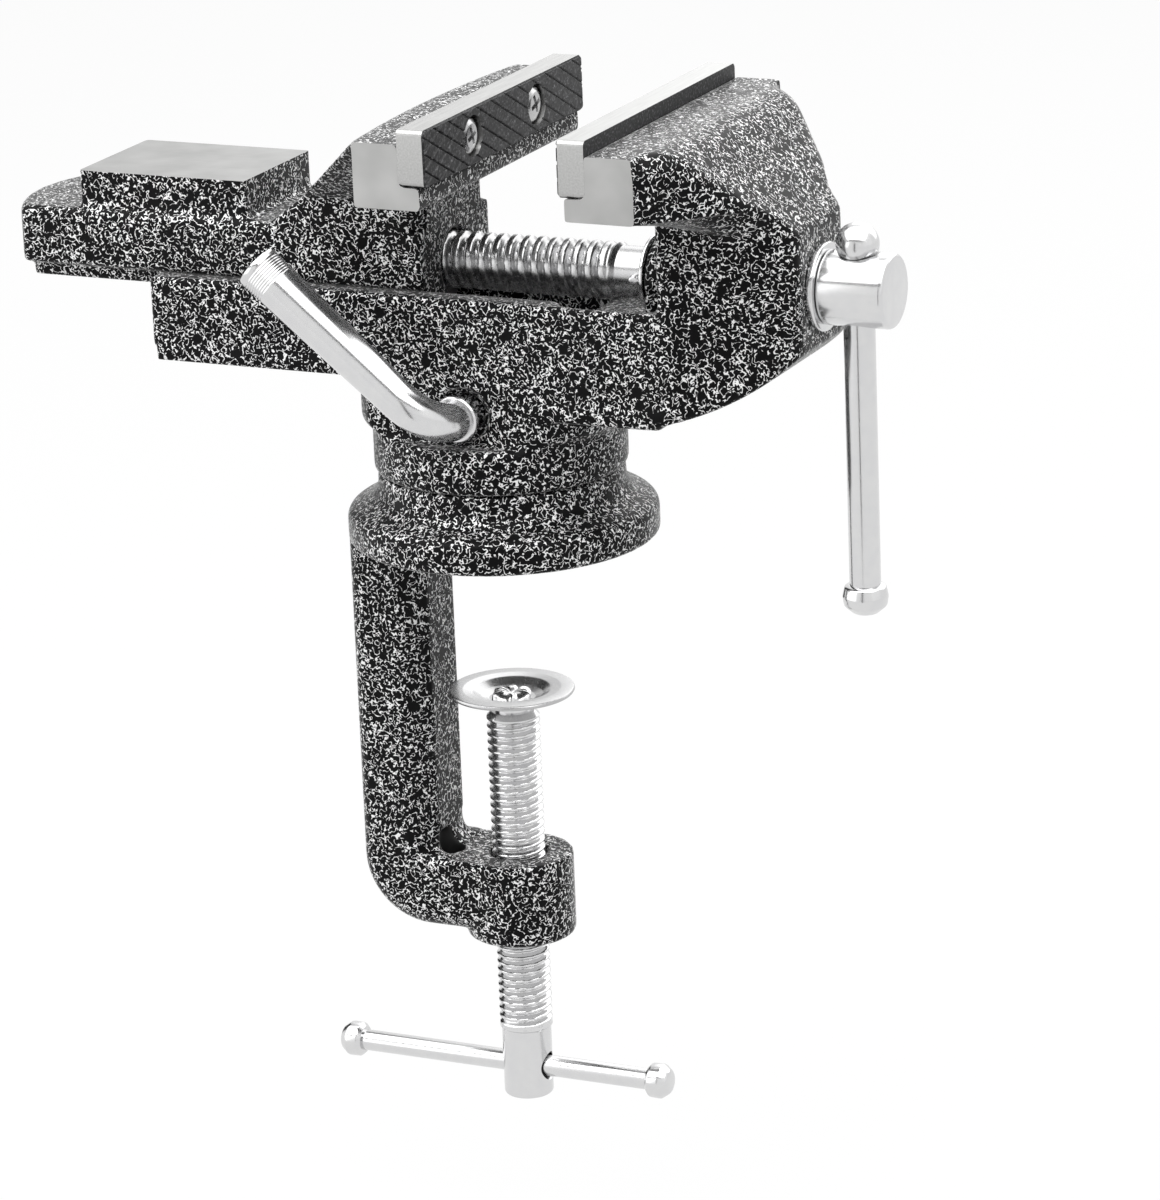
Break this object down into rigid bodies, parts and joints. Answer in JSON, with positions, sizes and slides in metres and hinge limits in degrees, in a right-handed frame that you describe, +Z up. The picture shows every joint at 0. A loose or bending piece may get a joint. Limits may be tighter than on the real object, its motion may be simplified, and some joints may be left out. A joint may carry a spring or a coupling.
{
  "type": "clamp-on swivel bench vise",
  "caption": "Clamp-on swivel bench vise: plated screw jaws over a slideway with an anvil, on a turntable with lock lever, above a C-clamp with a dished pressure pad.",
  "frame": {"origin": "centre of the round flange's underside, on the swivel axis and on the mouth of the flange's socket", "axes": "+X along the lead screw towards its handle, +Y to the jaws' far ends, +Z up along the swivel axis"},
  "size_m": [0.2067, 0.0811, 0.2325],
  "materials": {
    "hammered_paint": "semi-gloss black and silver hammered paint on cast iron, machined faces bare",
    "plate_steel": "dark hardened steel with a diamond face",
    "screw_steel": "bright turned steel",
    "zinc_plate": "bright zinc plating",
    "bolt_steel": "dull dark bolt steel",
    "pad_brass": "turned brass",
    "nut_iron": "bare machined iron"
  },
  "bodies": {
    "clamp_frame": {"clamp_frame": "hammered_paint"},
    "vise": {"vise_body": "hammered_paint", "front_jaw_plate": "plate_steel", "front_plate_screws": "screw_steel", "swivel_bolt": "bolt_steel", "swivel_washer": "bolt_steel", "lock_pad": "pad_brass", "thrust_washer": "zinc_plate"},
    "lock_lever": {"lock_lever": "zinc_plate"},
    "moving_jaw": {"moving_jaw": "hammered_paint", "rear_jaw_plate": "plate_steel", "rear_plate_screws": "screw_steel", "lead_nut": "nut_iron", "slide_keeper": "nut_iron", "keeper_screws": "bolt_steel"},
    "lead_screw": {"lead_screw": "screw_steel", "retaining_washer": "zinc_plate", "retaining_pin": "zinc_plate"},
    "handle": {"handle_bar": "zinc_plate", "handle_ball": "zinc_plate", "handle_knob": "zinc_plate"},
    "clamp_pad": {"clamp_pad": "zinc_plate"},
    "clamp_screw": {"clamp_screw": "zinc_plate"},
    "clamp_tbar": {"clamp_tbar": "zinc_plate", "tbar_knobs": "zinc_plate"}
  },
  "joints": [
    {"name": "swivel", "type": "hinge", "parent": "clamp_frame", "child": "vise", "pos_m": [0, 0, 0.02], "axis": [0, 0, 1], "continuous": true},
    {"name": "lock_turn", "type": "hinge", "parent": "vise", "child": "lock_lever", "pos_m": [0.0015, -0.0195, 0.0325], "axis": [0, 1, 0], "range_deg": [-60, 15]},
    {"name": "lead_spin", "type": "hinge", "parent": "vise", "child": "lead_screw", "pos_m": [0.06, 0, 0.0613], "axis": [1, 0, 0], "range_deg": [-3420, 3240]},
    {"name": "jaw_slide", "type": "slide", "parent": "vise", "child": "moving_jaw", "axis": [1, 0, 0], "range_m": [-0.02859, 0.03018]},
    {"name": "handle_slide", "type": "slide", "parent": "lead_screw", "child": "handle", "axis": [0, 0, 1], "range_m": [0, 0.0565]},
    {"name": "clamp_travel", "type": "slide", "parent": "clamp_frame", "child": "clamp_pad", "axis": [0, 0, 1], "range_m": [-0.0319, 0.02252]},
    {"name": "clamp_spin", "type": "hinge", "parent": "clamp_pad", "child": "clamp_screw", "pos_m": [0, 0, -0.039], "axis": [0, 0, 1], "range_deg": [-6120, 4320]},
    {"name": "tbar_slide", "type": "slide", "parent": "clamp_screw", "child": "clamp_tbar", "axis": [1, 0, 0], "range_m": [-0.024, 0.0352]}
  ],
  "couplings": [
    {"joint": "jaw_slide", "follows": "lead_spin", "m_per_rad": -0.00050532},
    {"joint": "clamp_travel", "follows": "clamp_spin", "m_per_rad": 0.00029842}
  ]
}
